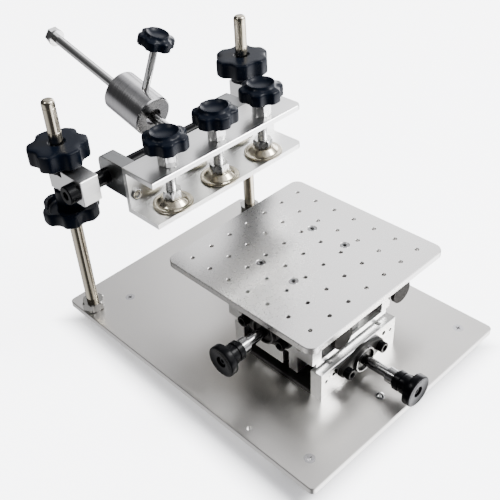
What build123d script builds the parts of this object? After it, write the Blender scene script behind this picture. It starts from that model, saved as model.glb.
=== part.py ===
import os
from math import asin, cos, radians, sin

from build123d import *

os.makedirs("parts", exist_ok=True)

# The origin is at the middle of the base plate's underside, above the bench by the feet.
# X runs along the clamp, -Y is the operator's side, +Z is up. Millimetres.

# Fits
running_gap = 0.05
face_gap = 0.3

# Base plate, feet and posts
base_width = 206.0
base_depth = 274.0
base_thickness = 5.0
base_corner = 4.0
foot_height = 8.0
foot_diameter = 18.0
foot_floor = 2.0
foot_chamfer = 1.0
rear_foot_from_side = 38.0
rear_foot_from_end = 36.0
front_foot_from_side = 18.0
front_foot_from_end = 18.5
rear_foot_x = base_width / 2 - rear_foot_from_side
rear_foot_y = base_depth / 2 - rear_foot_from_end
front_foot_x = base_width / 2 - front_foot_from_side
front_foot_y = front_foot_from_end - base_depth / 2
deck = base_thickness
post_diameter = 10.0
post_from_side = 10.0
post_x = base_width / 2 - post_from_side
post_y = 114.5
post_rise = 191.0
post_tip_radius = 2.6
plate_edge = 0.5
block_edge = 0.4
post_nut_width = 17.0
post_nut_height = 8.0

# Mount blocks and the star knobs that hold them on the posts
block_width = 16.0
block_depth = 44.0
block_height = 20.0
block_step = 14.5
block_step_gap = 0.5
block_front_y = 79.5
post_knob_diameter = 45.0
post_knob_hub = 20.0
upper_hub_height = 8.0
upper_lobe_height = 14.5
lower_hub_height = 14.0
lower_lobe_height = 11.0
post_knob_hollow = 5.5

# Pivot bolt, arms and clamp channel
pivot_diameter = 12.0
pivot_y = 87.5
pivot_height = 131.0
pivot_z = deck + pivot_height
pivot_above_block_low = 10.5
block_low = pivot_z - pivot_above_block_low
pivot_head_diameter = 14.5
pivot_head_height = 8.5
pivot_ring_diameter = 15.0
pivot_ring_thickness = 1.6
arm_width = 12.0
arm_rear_y = 95.5
channel_left_x = -73.5
channel_right_x = 75.5
channel_depth = 34.4
channel_height = 37.5
channel_wall = 4.0
channel_front_y = 31.6
channel_below_pivot = 22.5
channel_low = pivot_z - channel_below_pivot
channel_right_corner = 5.0

# Pad screws, their knobs and the pads
pad_pitch_x = 46.5
middle_pad_x = -2.0
pad_y = 44.5
pad_diameter = 30.0
pad_height = 5.5
stud_diameter = 8.0
stud_nut_width = 13.0
stud_nut_height = 6.5
clamp_nut_height = 9.5
pad_knob_diameter = 33.0
pad_knob_lobe_height = 10.0

# Counterweight, measured along its rod from the pivot
rod_x = -3.0
rod_diameter = 8.0
rod_rise_degrees = 15.2
rod_length = 163.0
weight_diameter = 34.0
weight_length = 42.0
weight_from_pivot = 31.0
weight_counterbore = 16.0
lock_from_front = 15.0
lock_lean_degrees = 11.5
lock_stud_diameter = 6.0
lock_knob_diameter = 28.5

# Cross slides: the lower one moves along Y, the upper one along X
slide_width = 83.0
slide_length = 86.0
end_plate = 10.0
end_plate_height = 25.0
floor_thickness = 4.0
lower_front_y = -91.5
lower_x = -1.0
lower_screw_height = 15.0
lower_screw_z = deck + lower_screw_height
upper_y = -43.0
upper_x = -1.0
upper_floor_gap = 2.0
upper_low = deck + end_plate_height + upper_floor_gap
upper_left_height = 20.3
upper_right_height = 15.5
upper_screw_height = 14.5
upper_screw_z = upper_low + upper_screw_height
lead_diameter = 8.0
guide_diameter = 8.0
guide_pitch = 56.0
guide_socket_diameter = 4.0
guide_socket_depth = 4.0
lower_guide_rise = 3.0
lower_guide_z = lower_screw_z + lower_guide_rise
carriage_length = 20.0
bearing_width = 20.0
bearing_thickness = 6.0
bearing_screw_pitch = 37.0
hand_knob_diameter = 24.0

# Work table
table_size = 150.0
table_thickness = 5.0
table_corner = 8.0
table_x = 22.0
table_y = -17.0
bracket_above_floor = 20.5
bracket_thickness = 4.3
bracket_low = upper_low + bracket_above_floor
table_low = bracket_low + bracket_thickness
pin_pitch = 20.0
pin_count = 7
pin_diameter = 3.0
pin_mouth = 0.4
table_screw_x = 58.0
table_screw_y = 33.0
table_screw_diameter = 4.0
table_screw_head = 8.0
table_screw_drop = 0.3
table_screw_sink = (table_screw_head - table_screw_diameter) / 2 - table_screw_drop
table_screw_key = 2.5
table_screw_key_depth = 1.2
bracket_margin = 7.0
bracket_front = 30.0

# Small parts
foot_screw_diameter = 4.0
foot_screw_head = 8.0
foot_screw_sink = 2.0
foot_screw_length = 10.0
foot_slot_length = 4.0
foot_slot_width = 0.9
foot_slot_depth = 1.6
foot_screw_places = [
    (-rear_foot_x, rear_foot_y),
    (rear_foot_x, rear_foot_y),
    (-front_foot_x, front_foot_y),
    (front_foot_x, front_foot_y),
]
block_corner = 1.0
spare_hole_from_side = 8.2
spare_hole_x = spare_hole_from_side - base_width / 2
spare_hole_y = -72.0
spare_hole_diameter = 4.0
dome_screw_x = -10.0
dome_screw_from_end = 19.0
dome_screw_y = dome_screw_from_end - base_depth / 2
dome_screw_shank = 4.0
dome_screw_head = 7.6
dome_screw_height = 2.4
post_groove_drop = 6.0
post_groove_size = 0.6
pivot_tip = 1.0
socket_share = 0.25
socket_depth_share = 0.5
star_notch_centre = 1.28
star_notch_radius = 0.42
crown_share = 0.36
hollow_share = 0.36
channel_top = channel_low + channel_height
arm_below_pivot = 11.3
arm_low = pivot_z - arm_below_pivot
arm_rear_corner = 6.0
right_arm_x = 47.0
arm_places = [channel_left_x + arm_width / 2, right_arm_x]
arm_screw_below_pivot = 8.3
arm_screw_z = pivot_z - arm_screw_below_pivot
arm_screw_diameter = 5.0
arm_screw_head = 8.5
arm_screw_head_height = 2.0
arm_screw_reach = 16.0
grip_screw_stand = 1.2
pad_places = [middle_pad_x - pad_pitch_x, middle_pad_x, middle_pad_x + pad_pitch_x]
stud_bore = stud_diameter + 2 * running_gap
stud_tip = 6.0
stud_in_knob = 12.0
pad_rim = 1.8
pad_shoulder = 21.6
pad_shoulder_height = 2.6
pad_neck = 15.0
pad_socket = 3.5
pad_knob_hub_height = 3.5
pad_knob_hub_low = 13.0
pad_knob_hub_high = 21.0
pad_knob_crown = 3.0
rod_flange = 15.0
rod_flange_thickness = 2.0
rod_head_width = 13.0
rod_head_height = 5.5
rod_inset = 1.0
weight_counterbore_depth = 6.0
weight_edge = 1.0
lock_knob_height = 54.5
lock_knob_lobe_height = 8.0
lock_knob_crown = 2.5
lock_stud_in_knob = 4.0
bearing_seat = 14.0
bearing_spigot = 3.0
screw_bearing_bore = lead_diameter + 2 * running_gap
bearing_ring = 20.0
bearing_recess = 16.0
bearing_recess_depth = 2.0
bearing_ear = 5.5
bearing_flange = 3.6
bearing_screw_diameter = 5.0
bearing_screw_head = 8.5
bearing_screw_height = 5.0
bearing_screw_reach = 10.0
plate_hole_pitch = 54.0
plate_hole_diameter = 4.2
plate_hole_depth = 4.0
end_hole_pitch = 72.0
end_hole_diameter = 3.0
end_hole_depth = 6.0
end_hole_rise = 1.0
end_hole_z = lower_screw_z + end_hole_rise
hand_knob_hub = 15.0
hand_knob_hub_length = 12.0
hand_knob_rim = 6.0
hand_knob_recess = 3.0
hand_knob_recess_diameter = 12.0
hand_knob_length = hand_knob_hub_length + hand_knob_rim
collar_diameter = 12.0
collar_length = 7.0
lead_tail = 4.0
lower_knob_reach = 33.0
upper_knob_reach = 29.0
carriage_width = 78.0
carriage_bar = 8.0
carriage_bar_front = 24.0
lower_carriage_length = 28.0
lower_carriage_front = 10.0
floor_set_in = 4.0
lower_carriage_low = deck + 9.5
upper_carriage_low = upper_low + floor_thickness + 1.0
stop_disc_off_centre = 5.0
stop_disc_pitch = 66.0
stop_disc_set_in = 3.4
stop_disc_x = table_x - stop_disc_off_centre
stop_disc_y = table_y - table_size / 2 + stop_disc_set_in
stop_disc_thickness = 3.0
stop_disc_diameter = 19.0
stop_disc_drop = 10.0
stop_tab = 8.0

# Places worked out from the sizes above
lower_back_y = lower_front_y + slide_length
table_top = table_low + table_thickness
table_screw_places = [
    (table_x + a * table_screw_x / 2, table_y + b * table_screw_y / 2) for a in (-1, 1) for b in (-1, 1)
]
rod_way = (0, cos(radians(rod_rise_degrees)), sin(radians(rod_rise_degrees)))
rod_root = Plane((rod_x, pivot_y, pivot_z), x_dir=(1, 0, 0), z_dir=rod_way)
rod_start = rod_root.offset(-pivot_diameter)
weight_front = rod_root.offset(weight_from_pivot)
lock_plane = Plane(
    rod_root.offset(weight_from_pivot + lock_from_front).origin,
    x_dir=rod_way,
    z_dir=(
        sin(radians(lock_lean_degrees)),
        -sin(radians(rod_rise_degrees)) * cos(radians(lock_lean_degrees)),
        cos(radians(rod_rise_degrees)) * cos(radians(lock_lean_degrees)),
    ),
)
lower_front_face = Plane((lower_x, lower_front_y, lower_screw_z), x_dir=(1, 0, 0), z_dir=(0, -1, 0))
upper_left_face = Plane(
    (upper_x - slide_length / 2, upper_y, upper_screw_z), x_dir=(0, 1, 0), z_dir=(-1, 0, 0)
)
bearing_corners = [
    (-bearing_screw_pitch / 2, -bearing_ear),
    (0, -bearing_width / 2),
    (bearing_screw_pitch / 2, -bearing_ear),
    (bearing_screw_pitch / 2, bearing_ear),
    (0, bearing_width / 2),
    (-bearing_screw_pitch / 2, bearing_ear),
]


def save(piece, label):
    """Label the finished piece and write its file."""
    piece.part.label = label
    export_step(piece.part, f"parts/{label}.step")


def box_between(low, high):
    """Add a box between two opposite corners to the open part."""
    middle = [(a + b) / 2 for a, b in zip(low, high)]
    size = [b - a for a, b in zip(low, high)]
    with Locations(tuple(middle)):
        Box(*size)


def rod_along(plane, diameter, length):
    """Add a round rod that starts at the plane and follows its normal."""
    with BuildSketch(plane) as disc:
        Circle(diameter / 2)
    extrude(disc.sketch, amount=length)


def bore_along(plane, diameter, length):
    """Cut a round bore that starts at the plane and follows its normal."""
    with BuildSketch(plane) as disc:
        Circle(diameter / 2)
    extrude(disc.sketch, amount=length, mode=Mode.SUBTRACT)


def hex_along(plane, across_flats, length):
    """Add a hexagon bar that starts at the plane and follows its normal."""
    with BuildSketch(plane) as hexagon:
        RegularPolygon(across_flats / 2, 6, major_radius=False)
    extrude(hexagon.sketch, amount=length)


def cap_screw(plane, head_diameter, head_height, shank_diameter, shank_length):
    """Add a socket head screw: its head stands on the plane, its shank goes behind it."""
    rod_along(plane, head_diameter, head_height)
    with BuildSketch(plane.offset(head_height * socket_depth_share)) as socket:
        RegularPolygon(head_diameter * socket_share, 6, major_radius=False)
    extrude(socket.sketch, amount=head_height, mode=Mode.SUBTRACT)
    rod_along(plane, shank_diameter, -shank_length)


def star_along(plane, diameter, length):
    """Add a six lobed star that starts at the plane and follows its normal."""
    radius = diameter / 2
    with BuildSketch(plane) as star:
        Circle(radius)
        with PolarLocations(radius * star_notch_centre, 6, start_angle=30):
            Circle(radius * star_notch_radius, mode=Mode.SUBTRACT)
    extrude(star.sketch, amount=length)


def dome_on(plane, radius, height):
    """Add a shallow spherical dome that stands on the plane."""
    sphere = (radius ** 2 + height ** 2) / (2 * height)
    half_turn = asin(radius / sphere) / 2
    side_view = Plane(plane.origin, x_dir=plane.x_dir, z_dir=-plane.y_dir)
    with BuildSketch(side_view) as profile:
        with BuildLine():
            Polyline((0, height), (0, 0), (radius, 0))
            ThreePointArc(
                (radius, 0),
                (sphere * sin(half_turn), sphere * cos(half_turn) - sphere + height),
                (0, height),
            )
        make_face()
    revolve(profile.sketch, axis=Axis(plane.origin, plane.z_dir))


# Base

with BuildPart() as base_plate:
    with BuildSketch():
        RectangleRounded(base_width, base_depth, base_corner)
    extrude(amount=base_thickness)
    chamfer(base_plate.edges().group_by(Axis.Z)[-1], plate_edge)
    for side in (-1, 1):
        bore_along(Plane((side * post_x, post_y, 0)), post_diameter, base_thickness)
    for x, y in foot_screw_places:
        with Locations((x, y, deck)):
            CounterSinkHole(foot_screw_diameter / 2, foot_screw_head / 2, counter_sink_angle=90)
    bore_along(Plane((spare_hole_x, spare_hole_y, 0)), spare_hole_diameter, base_thickness)
    bore_along(Plane((dome_screw_x, dome_screw_y, 0)), dome_screw_shank, base_thickness)
save(base_plate, "base_plate")

with BuildPart() as rubber_feet:
    for x, y in foot_screw_places:
        rod_along(Plane((x, y, -foot_height)), foot_diameter, foot_height)
        bore_along(Plane((x, y, -foot_height + foot_floor)), foot_screw_diameter, foot_height)
    chamfer(rubber_feet.edges().filter_by(GeomType.CIRCLE).group_by(Axis.Z)[0], foot_chamfer)
save(rubber_feet, "rubber_feet")

with BuildPart() as foot_screws:
    for x, y in foot_screw_places:
        rod_along(Plane((x, y, deck - foot_screw_length)), foot_screw_diameter, foot_screw_length)
        with Locations((x, y, deck - foot_screw_sink / 2)):
            Cone(foot_screw_diameter / 2, foot_screw_head / 2, foot_screw_sink)
        with BuildSketch(Plane((x, y, deck - foot_slot_depth))):
            Rectangle(foot_slot_length, foot_slot_width)
            Rectangle(foot_slot_width, foot_slot_length)
        extrude(amount=foot_slot_depth, mode=Mode.SUBTRACT)
save(foot_screws, "foot_screws")

with BuildPart() as dome_screw:
    rod_along(Plane((dome_screw_x, dome_screw_y, 0)), dome_screw_shank, base_thickness)
    dome_on(Plane((dome_screw_x, dome_screw_y, deck)), dome_screw_head / 2, dome_screw_height)
save(dome_screw, "dome_screw")


def make_post(side, label):
    """Make one round post with a rounded tip and a shallow groove below it."""
    x = side * post_x
    with BuildPart() as post:
        rod_along(Plane((x, post_y, 0)), post_diameter, base_thickness + post_rise)
        fillet(post.edges().filter_by(GeomType.CIRCLE).sort_by(Axis.Z)[-1], post_tip_radius)
        groove = Plane((x, post_y, deck + post_rise - post_groove_drop))
        with BuildSketch(groove):
            Circle(post_diameter / 2)
            Circle(post_diameter / 2 - post_groove_size / 2, mode=Mode.SUBTRACT)
        extrude(amount=post_groove_size, mode=Mode.SUBTRACT)
    save(post, label)


make_post(-1, "left_post")
make_post(1, "right_post")

with BuildPart() as post_base_nuts:
    for side in (-1, 1):
        foot = Plane((side * post_x, post_y, deck))
        hex_along(foot, post_nut_width, post_nut_height)
        bore_along(foot, post_diameter, post_nut_height)
save(post_base_nuts, "post_base_nuts")


# Mount blocks, pivot bolt and star knobs

def make_block(side, label):
    """Make one mount block: a high front part for the pivot and a low rear part on the post."""
    x = side * post_x
    step_y = post_y - post_knob_hub / 2 - block_step_gap
    with BuildPart() as block:
        box_between(
            (x - block_width / 2, block_front_y, block_low),
            (x + block_width / 2, block_front_y + block_depth, block_low + block_height),
        )
        fillet(block.edges().filter_by(Axis.Z), block_corner)
        with Locations((x, step_y + block_depth / 2, block_low + block_step + block_height / 2)):
            Box(2 * block_width, block_depth, block_height, mode=Mode.SUBTRACT)
        chamfer(block.edges().group_by(Axis.Z)[-1], block_edge)
        bore_along(Plane((x, post_y, block_low)), post_diameter + 2 * running_gap, block_height)
        pivot_start = Plane((x - block_width / 2, pivot_y, pivot_z), x_dir=(0, 1, 0), z_dir=(1, 0, 0))
        bore_along(pivot_start, pivot_diameter + 2 * running_gap, block_width)
    save(block, label)


make_block(-1, "left_mount_block")
make_block(1, "right_mount_block")

block_outer_x = post_x + block_width / 2
pivot_left = Plane((-block_outer_x - face_gap, pivot_y, pivot_z), x_dir=(0, 1, 0), z_dir=(-1, 0, 0))
pivot_right = Plane((block_outer_x + face_gap, pivot_y, pivot_z), x_dir=(0, 1, 0), z_dir=(1, 0, 0))
pivot_reach = 2 * (block_outer_x + face_gap) + pivot_ring_thickness + pivot_tip

with BuildPart() as pivot_bolt:
    cap_screw(pivot_left, pivot_head_diameter, pivot_head_height, pivot_diameter, pivot_reach)
    chamfer(pivot_bolt.edges().filter_by(GeomType.CIRCLE).sort_by(Axis.X)[-1], pivot_tip / 2)
    bore_along(rod_start, rod_diameter, 2 * pivot_diameter)
save(pivot_bolt, "pivot_bolt")

with BuildPart() as pivot_ring:
    rod_along(pivot_right, pivot_ring_diameter, pivot_ring_thickness)
    bore_along(pivot_right, pivot_diameter, pivot_ring_thickness)
save(pivot_ring, "pivot_ring")


def make_post_knob(side, up, hub_height, lobe_height, label):
    """Make one star knob with its hub against the block: up is 1 above it and -1 below it."""
    x = side * post_x
    face = block_low + block_step + face_gap if up > 0 else block_low - face_gap
    hub = Plane((x, post_y, face), x_dir=(1, 0, 0), z_dir=(0, 0, up))
    lobes = hub.offset(hub_height)
    with BuildPart() as knob:
        rod_along(hub, post_knob_hub, hub_height + 1)
        star_along(lobes, post_knob_diameter, lobe_height)
        with BuildSketch(lobes) as hollow:
            Circle(post_knob_diameter * hollow_share)
            Circle(post_knob_hub / 2, mode=Mode.SUBTRACT)
        extrude(hollow.sketch, amount=post_knob_hollow, mode=Mode.SUBTRACT)
        bore_along(hub, post_diameter + 2 * running_gap, hub_height + lobe_height)
    save(knob, label)


make_post_knob(-1, 1, upper_hub_height, upper_lobe_height, "left_upper_knob")
make_post_knob(-1, -1, lower_hub_height, lower_lobe_height, "left_lower_knob")
make_post_knob(1, 1, upper_hub_height, upper_lobe_height, "right_upper_knob")
make_post_knob(1, -1, lower_hub_height, lower_lobe_height, "right_lower_knob")


# Clamp channel and arms

def make_arm(x, label):
    """Make one arm: a bar from the pivot bolt to the back of the channel."""
    with BuildPart() as arm:
        box_between(
            (x - arm_width / 2, channel_front_y + channel_depth, arm_low),
            (x + arm_width / 2, arm_rear_y, channel_top),
        )
        rear = arm.edges().filter_by(Axis.X).group_by(Axis.Y)[-1]
        fillet(rear, arm_rear_corner)
        sides = arm.faces().filter_by(Axis.X)
        chamfer(sides.edges() - arm.faces().sort_by(Axis.Y)[0].edges(), block_edge)
        bore_along(
            Plane((x - arm_width / 2, pivot_y, pivot_z), x_dir=(0, 1, 0), z_dir=(1, 0, 0)),
            pivot_diameter,
            arm_width,
        )
        web = Plane((x, channel_front_y + channel_depth, arm_screw_z), x_dir=(1, 0, 0), z_dir=(0, 1, 0))
        bore_along(web, arm_screw_diameter, arm_screw_reach)
        grip = Plane((x, arm_rear_y, pivot_z), x_dir=(1, 0, 0), z_dir=(0, -1, 0))
        bore_along(grip, arm_screw_diameter, arm_rear_y - pivot_y)
    save(arm, label)


make_arm(arm_places[0], "left_arm")
make_arm(arm_places[1], "right_arm")

with BuildPart() as arm_screws:
    for x in arm_places:
        seat_y = channel_front_y + channel_depth - channel_wall
        seat = Plane((x, seat_y, arm_screw_z), x_dir=(1, 0, 0), z_dir=(0, -1, 0))
        cap_screw(seat, arm_screw_head, arm_screw_head_height, arm_screw_diameter, arm_screw_reach)
save(arm_screws, "arm_screws")

with BuildPart() as grip_screws:
    for x in arm_places:
        tip = Plane((x, pivot_y + pivot_diameter / 2, pivot_z), x_dir=(1, 0, 0), z_dir=(0, 1, 0))
        rod_along(tip, arm_screw_diameter, arm_rear_y - pivot_y - pivot_diameter / 2 + grip_screw_stand)
save(grip_screws, "grip_screws")

channel_end = Plane((channel_left_x, channel_front_y, channel_low), x_dir=(0, 1, 0), z_dir=(1, 0, 0))

with BuildPart() as clamp_channel:
    with BuildSketch(channel_end):
        with BuildLine():
            Polyline(
                (0, 0),
                (channel_depth, 0),
                (channel_depth, channel_height),
                (0, channel_height),
                (0, channel_height - channel_wall),
                (channel_depth - channel_wall, channel_height - channel_wall),
                (channel_depth - channel_wall, channel_wall),
                (0, channel_wall),
                close=True,
            )
        make_face()
    extrude(amount=channel_right_x - channel_left_x)
    front_corners = clamp_channel.edges().filter_by(Axis.Z).group_by(Axis.Y)[0]
    fillet(front_corners.group_by(Axis.X)[-1], channel_right_corner)
    chamfer(clamp_channel.edges().group_by(Axis.Z)[-1], block_edge)
    for x in pad_places:
        bore_along(Plane((x, pad_y, channel_top - channel_wall)), stud_bore, channel_wall)
    for x in arm_places:
        web = Plane((x, channel_front_y + channel_depth, arm_screw_z), x_dir=(1, 0, 0), z_dir=(0, -1, 0))
        bore_along(web, arm_screw_diameter, channel_wall)
save(clamp_channel, "clamp_channel")

with BuildPart() as clamp_nuts:
    for x in pad_places:
        seat = Plane((x, pad_y, channel_top))
        hex_along(seat, stud_nut_width, clamp_nut_height)
        bore_along(seat, stud_bore, clamp_nut_height)
save(clamp_nuts, "clamp_nuts")


# Pad screws, pads and their knobs

def make_pad_set(x, number):
    """Make one clamping screw: stud, star knob, lock nut and the round pad under it."""
    pad_face = channel_low + channel_wall + face_gap
    with BuildPart() as pad:
        with BuildSketch(Plane((x, pad_y, pad_face), x_dir=(1, 0, 0), z_dir=(0, -1, 0))):
            with BuildLine():
                Polyline(
                    (0, 0),
                    (pad_diameter / 2, 0),
                    (pad_diameter / 2, pad_rim),
                    (pad_shoulder / 2, pad_shoulder_height),
                    (pad_neck / 2, pad_height),
                    (0, pad_height),
                    close=True,
                )
            make_face()
        revolve(axis=Axis((x, pad_y, 0), (0, 0, 1)))
        bore_along(
            Plane((x, pad_y, pad_face + pad_height - pad_socket)), stud_tip + 2 * running_gap, pad_socket
        )
    save(pad, f"clamp_pad_{number}")

    stud_low = pad_face + pad_height + face_gap
    knob_low = channel_top + clamp_nut_height + face_gap
    with BuildPart() as stud:
        rod_along(Plane((x, pad_y, stud_low)), stud_diameter, knob_low + stud_in_knob - stud_low)
        rod_along(Plane((x, pad_y, stud_low)), stud_tip, -(pad_socket - face_gap))
    save(stud, f"pad_stud_{number}")

    with BuildPart() as lock_nut:
        hex_along(Plane((x, pad_y, stud_low)), stud_nut_width, stud_nut_height)
        bore_along(Plane((x, pad_y, stud_low)), stud_diameter, stud_nut_height)
    save(lock_nut, f"pad_lock_nut_{number}")

    lobes_low = knob_low + pad_knob_hub_height
    with BuildPart() as knob:
        with BuildSketch(Plane((x, pad_y, knob_low))):
            Circle(pad_knob_hub_low / 2)
        with BuildSketch(Plane((x, pad_y, lobes_low))):
            Circle(pad_knob_hub_high / 2)
        loft()
        star_along(Plane((x, pad_y, lobes_low)), pad_knob_diameter, pad_knob_lobe_height)
        crown = Plane((x, pad_y, lobes_low + pad_knob_lobe_height))
        dome_on(crown, pad_knob_diameter * crown_share, pad_knob_crown)
        bore_along(Plane((x, pad_y, knob_low)), stud_diameter, stud_in_knob)
    save(knob, f"pad_knob_{number}")


for index, place in enumerate(pad_places):
    make_pad_set(place, index + 1)


# Counterweight on its rod

with BuildPart() as counterweight_rod:
    rod_along(rod_start.offset(rod_inset), rod_diameter, rod_length + pivot_diameter - rod_inset)
    rod_along(rod_root.offset(rod_length), rod_flange, -rod_flange_thickness)
    hex_along(rod_root.offset(rod_length), rod_head_width, rod_head_height)
save(counterweight_rod, "counterweight_rod")

with BuildPart() as counterweight:
    rod_along(weight_front, weight_diameter, weight_length)
    chamfer(counterweight.edges().filter_by(GeomType.CIRCLE), weight_edge)
    bore_along(weight_front, rod_diameter + 2 * running_gap, weight_length)
    bore_along(weight_front, weight_counterbore, weight_counterbore_depth)
    bore_along(lock_plane, lock_stud_diameter + 2 * running_gap, weight_diameter / 2)
save(counterweight, "counterweight")

lock_stud_start = rod_diameter / 2 + face_gap
with BuildPart() as lock_stud:
    rod_along(
        lock_plane.offset(lock_stud_start),
        lock_stud_diameter,
        lock_knob_height + lock_stud_in_knob - lock_stud_start,
    )
save(lock_stud, "lock_stud")

lock_knob_foot = lock_plane.offset(lock_knob_height)
with BuildPart() as lock_knob:
    star_along(lock_knob_foot, lock_knob_diameter, lock_knob_lobe_height)
    crown = lock_knob_foot.offset(lock_knob_lobe_height)
    dome_on(crown, lock_knob_diameter * crown_share, lock_knob_crown)
    bore_along(lock_knob_foot, lock_stud_diameter, lock_stud_in_knob)
save(lock_knob, "lock_knob")


# Lower cross slide: fixed to the base, moves its carriage along Y

with BuildPart() as lower_floor:
    box_between(
        (lower_x - slide_width / 2, lower_front_y + end_plate, deck),
        (lower_x + slide_width / 2, lower_back_y - end_plate, deck + floor_thickness),
    )
    chamfer(lower_floor.edges().filter_by(Axis.Y).group_by(Axis.Z)[-1], block_edge)
save(lower_floor, "lower_floor")


def make_lower_end(front_y, screw_bore, label):
    """Make one upright end plate of the lower slide, with the given lead screw bore."""
    with BuildPart() as plate:
        box_between(
            (lower_x - slide_width / 2, front_y, deck),
            (lower_x + slide_width / 2, front_y + end_plate, deck + end_plate_height),
        )
        chamfer(plate.edges().group_by(Axis.Z)[-1] + plate.edges().filter_by(Axis.Z), block_edge)
        for x, z, bore, depth in (
            (lower_x, lower_screw_z, screw_bore, end_plate),
            (lower_x - guide_pitch / 2, lower_guide_z, guide_diameter, end_plate),
            (lower_x + guide_pitch / 2, lower_guide_z, guide_diameter, end_plate),
            (lower_x - bearing_screw_pitch / 2, lower_screw_z, bearing_screw_diameter, end_plate),
            (lower_x + bearing_screw_pitch / 2, lower_screw_z, bearing_screw_diameter, end_plate),
            (lower_x - end_hole_pitch / 2, end_hole_z, end_hole_diameter, end_hole_depth),
            (lower_x + end_hole_pitch / 2, end_hole_z, end_hole_diameter, end_hole_depth),
        ):
            bore_along(Plane((x, front_y, z), x_dir=(1, 0, 0), z_dir=(0, 1, 0)), bore, depth)
        for x in (lower_x - plate_hole_pitch / 2, lower_x + plate_hole_pitch / 2):
            mouth = Plane((x, front_y + end_plate / 2, deck + end_plate_height))
            bore_along(mouth, plate_hole_diameter, -plate_hole_depth)
    save(plate, label)


make_lower_end(lower_front_y, bearing_seat, "lower_front_plate")
make_lower_end(lower_back_y - end_plate, screw_bearing_bore, "lower_back_plate")



def guide_rod(start):
    """Add one guide rod from the plane, with the socket in its near end."""
    rod_along(start, guide_diameter, slide_length)
    bore_along(start, guide_socket_diameter, guide_socket_depth)


with BuildPart() as lower_guides:
    for side in (-1, 1):
        x = lower_x + side * guide_pitch / 2
        guide_rod(Plane((x, lower_front_y, lower_guide_z), (1, 0, 0), (0, 1, 0)))
save(lower_guides, "lower_guides")


def flange_bearing(face):
    """Add a rhombic two bolt flange bearing that stands on the plane, with its ring."""
    with BuildSketch(face) as flange:
        with BuildLine():
            Polyline(*bearing_corners, close=True)
        make_face()
        Circle(bearing_width / 2)
        with Locations((-bearing_screw_pitch / 2, 0), (bearing_screw_pitch / 2, 0)):
            Circle(bearing_ear)
    extrude(flange.sketch, amount=bearing_flange)
    rod_along(face, bearing_ring, bearing_thickness)
    rod_along(face, bearing_seat - 2 * running_gap, -bearing_spigot)
    bore_along(face.offset(-bearing_spigot), screw_bearing_bore, bearing_thickness + bearing_spigot)
    bore_along(face.offset(bearing_thickness), bearing_recess, -bearing_recess_depth)
    with BuildSketch(face) as screw_holes:
        with Locations((-bearing_screw_pitch / 2, 0), (bearing_screw_pitch / 2, 0)):
            Circle(bearing_screw_diameter / 2)
    extrude(screw_holes.sketch, amount=bearing_thickness, mode=Mode.SUBTRACT)


def bearing_cap_screws(face):
    """Add the two socket head screws that hold a flange bearing."""
    for side in (-1, 1):
        seat = Plane(
            face.origin + face.x_dir * side * bearing_screw_pitch / 2 + face.z_dir * bearing_flange,
            x_dir=face.x_dir,
            z_dir=face.z_dir,
        )
        cap_screw(
            seat, bearing_screw_head, bearing_screw_height, bearing_screw_diameter, bearing_screw_reach
        )


with BuildPart() as lower_bearing:
    flange_bearing(lower_front_face)
save(lower_bearing, "lower_bearing")

with BuildPart() as lower_bearing_screws:
    bearing_cap_screws(lower_front_face)
save(lower_bearing_screws, "lower_bearing_screws")


def hand_knob(face):
    """Add a stepped hand knob: hub on the plane, then the wider disc with a recess."""
    rod_along(face, hand_knob_hub, hand_knob_hub_length)
    rod_along(face.offset(hand_knob_hub_length), hand_knob_diameter, hand_knob_rim)
    bore_along(face.offset(hand_knob_length - hand_knob_recess), hand_knob_recess_diameter, hand_knob_recess)
    bore_along(face, lead_diameter, hand_knob_length)


def lead_screw(face, reach, back):
    """Add a lead screw from the knob to past the far bearing, with its stop collar."""
    rod_along(face.offset(-back), lead_diameter, back + reach + hand_knob_length - hand_knob_recess)
    rod_along(face.offset(reach - collar_length), collar_diameter, collar_length)


with BuildPart() as lower_lead_screw:
    lead_screw(lower_front_face, lower_knob_reach, slide_length + lead_tail)
save(lower_lead_screw, "lower_lead_screw")

with BuildPart() as lower_hand_knob:
    hand_knob(lower_front_face.offset(lower_knob_reach))
save(lower_hand_knob, "lower_hand_knob")

with BuildPart() as lower_carriage:
    box_between(
        (lower_x - carriage_width / 2, upper_y - lower_carriage_front, lower_carriage_low),
        (lower_x + carriage_width / 2, upper_y - lower_carriage_front + lower_carriage_length, upper_low),
    )
    box_between(
        (lower_x - carriage_width / 2, upper_y - carriage_bar_front, lower_carriage_low),
        (lower_x + carriage_width / 2, upper_y - carriage_bar_front + carriage_bar, upper_low),
    )
    for x, z in (
        (lower_x - guide_pitch / 2, lower_guide_z),
        (lower_x, lower_screw_z),
        (lower_x + guide_pitch / 2, lower_guide_z),
    ):
        start = Plane((x, upper_y - carriage_bar_front, z), x_dir=(1, 0, 0), z_dir=(0, 1, 0))
        bore_along(start, guide_diameter + 2 * running_gap, carriage_bar_front + lower_carriage_length)
save(lower_carriage, "lower_carriage")


# Upper cross slide: rides on the lower carriage, moves the table along X

with BuildPart() as upper_floor:
    box_between(
        (upper_x - slide_length / 2 + floor_set_in, upper_y - slide_width / 2, upper_low),
        (upper_x + slide_length / 2 - floor_set_in, upper_y + slide_width / 2, upper_low + floor_thickness),
    )
    chamfer(upper_floor.edges().filter_by(Axis.Z), block_edge)
save(upper_floor, "upper_floor")


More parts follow.
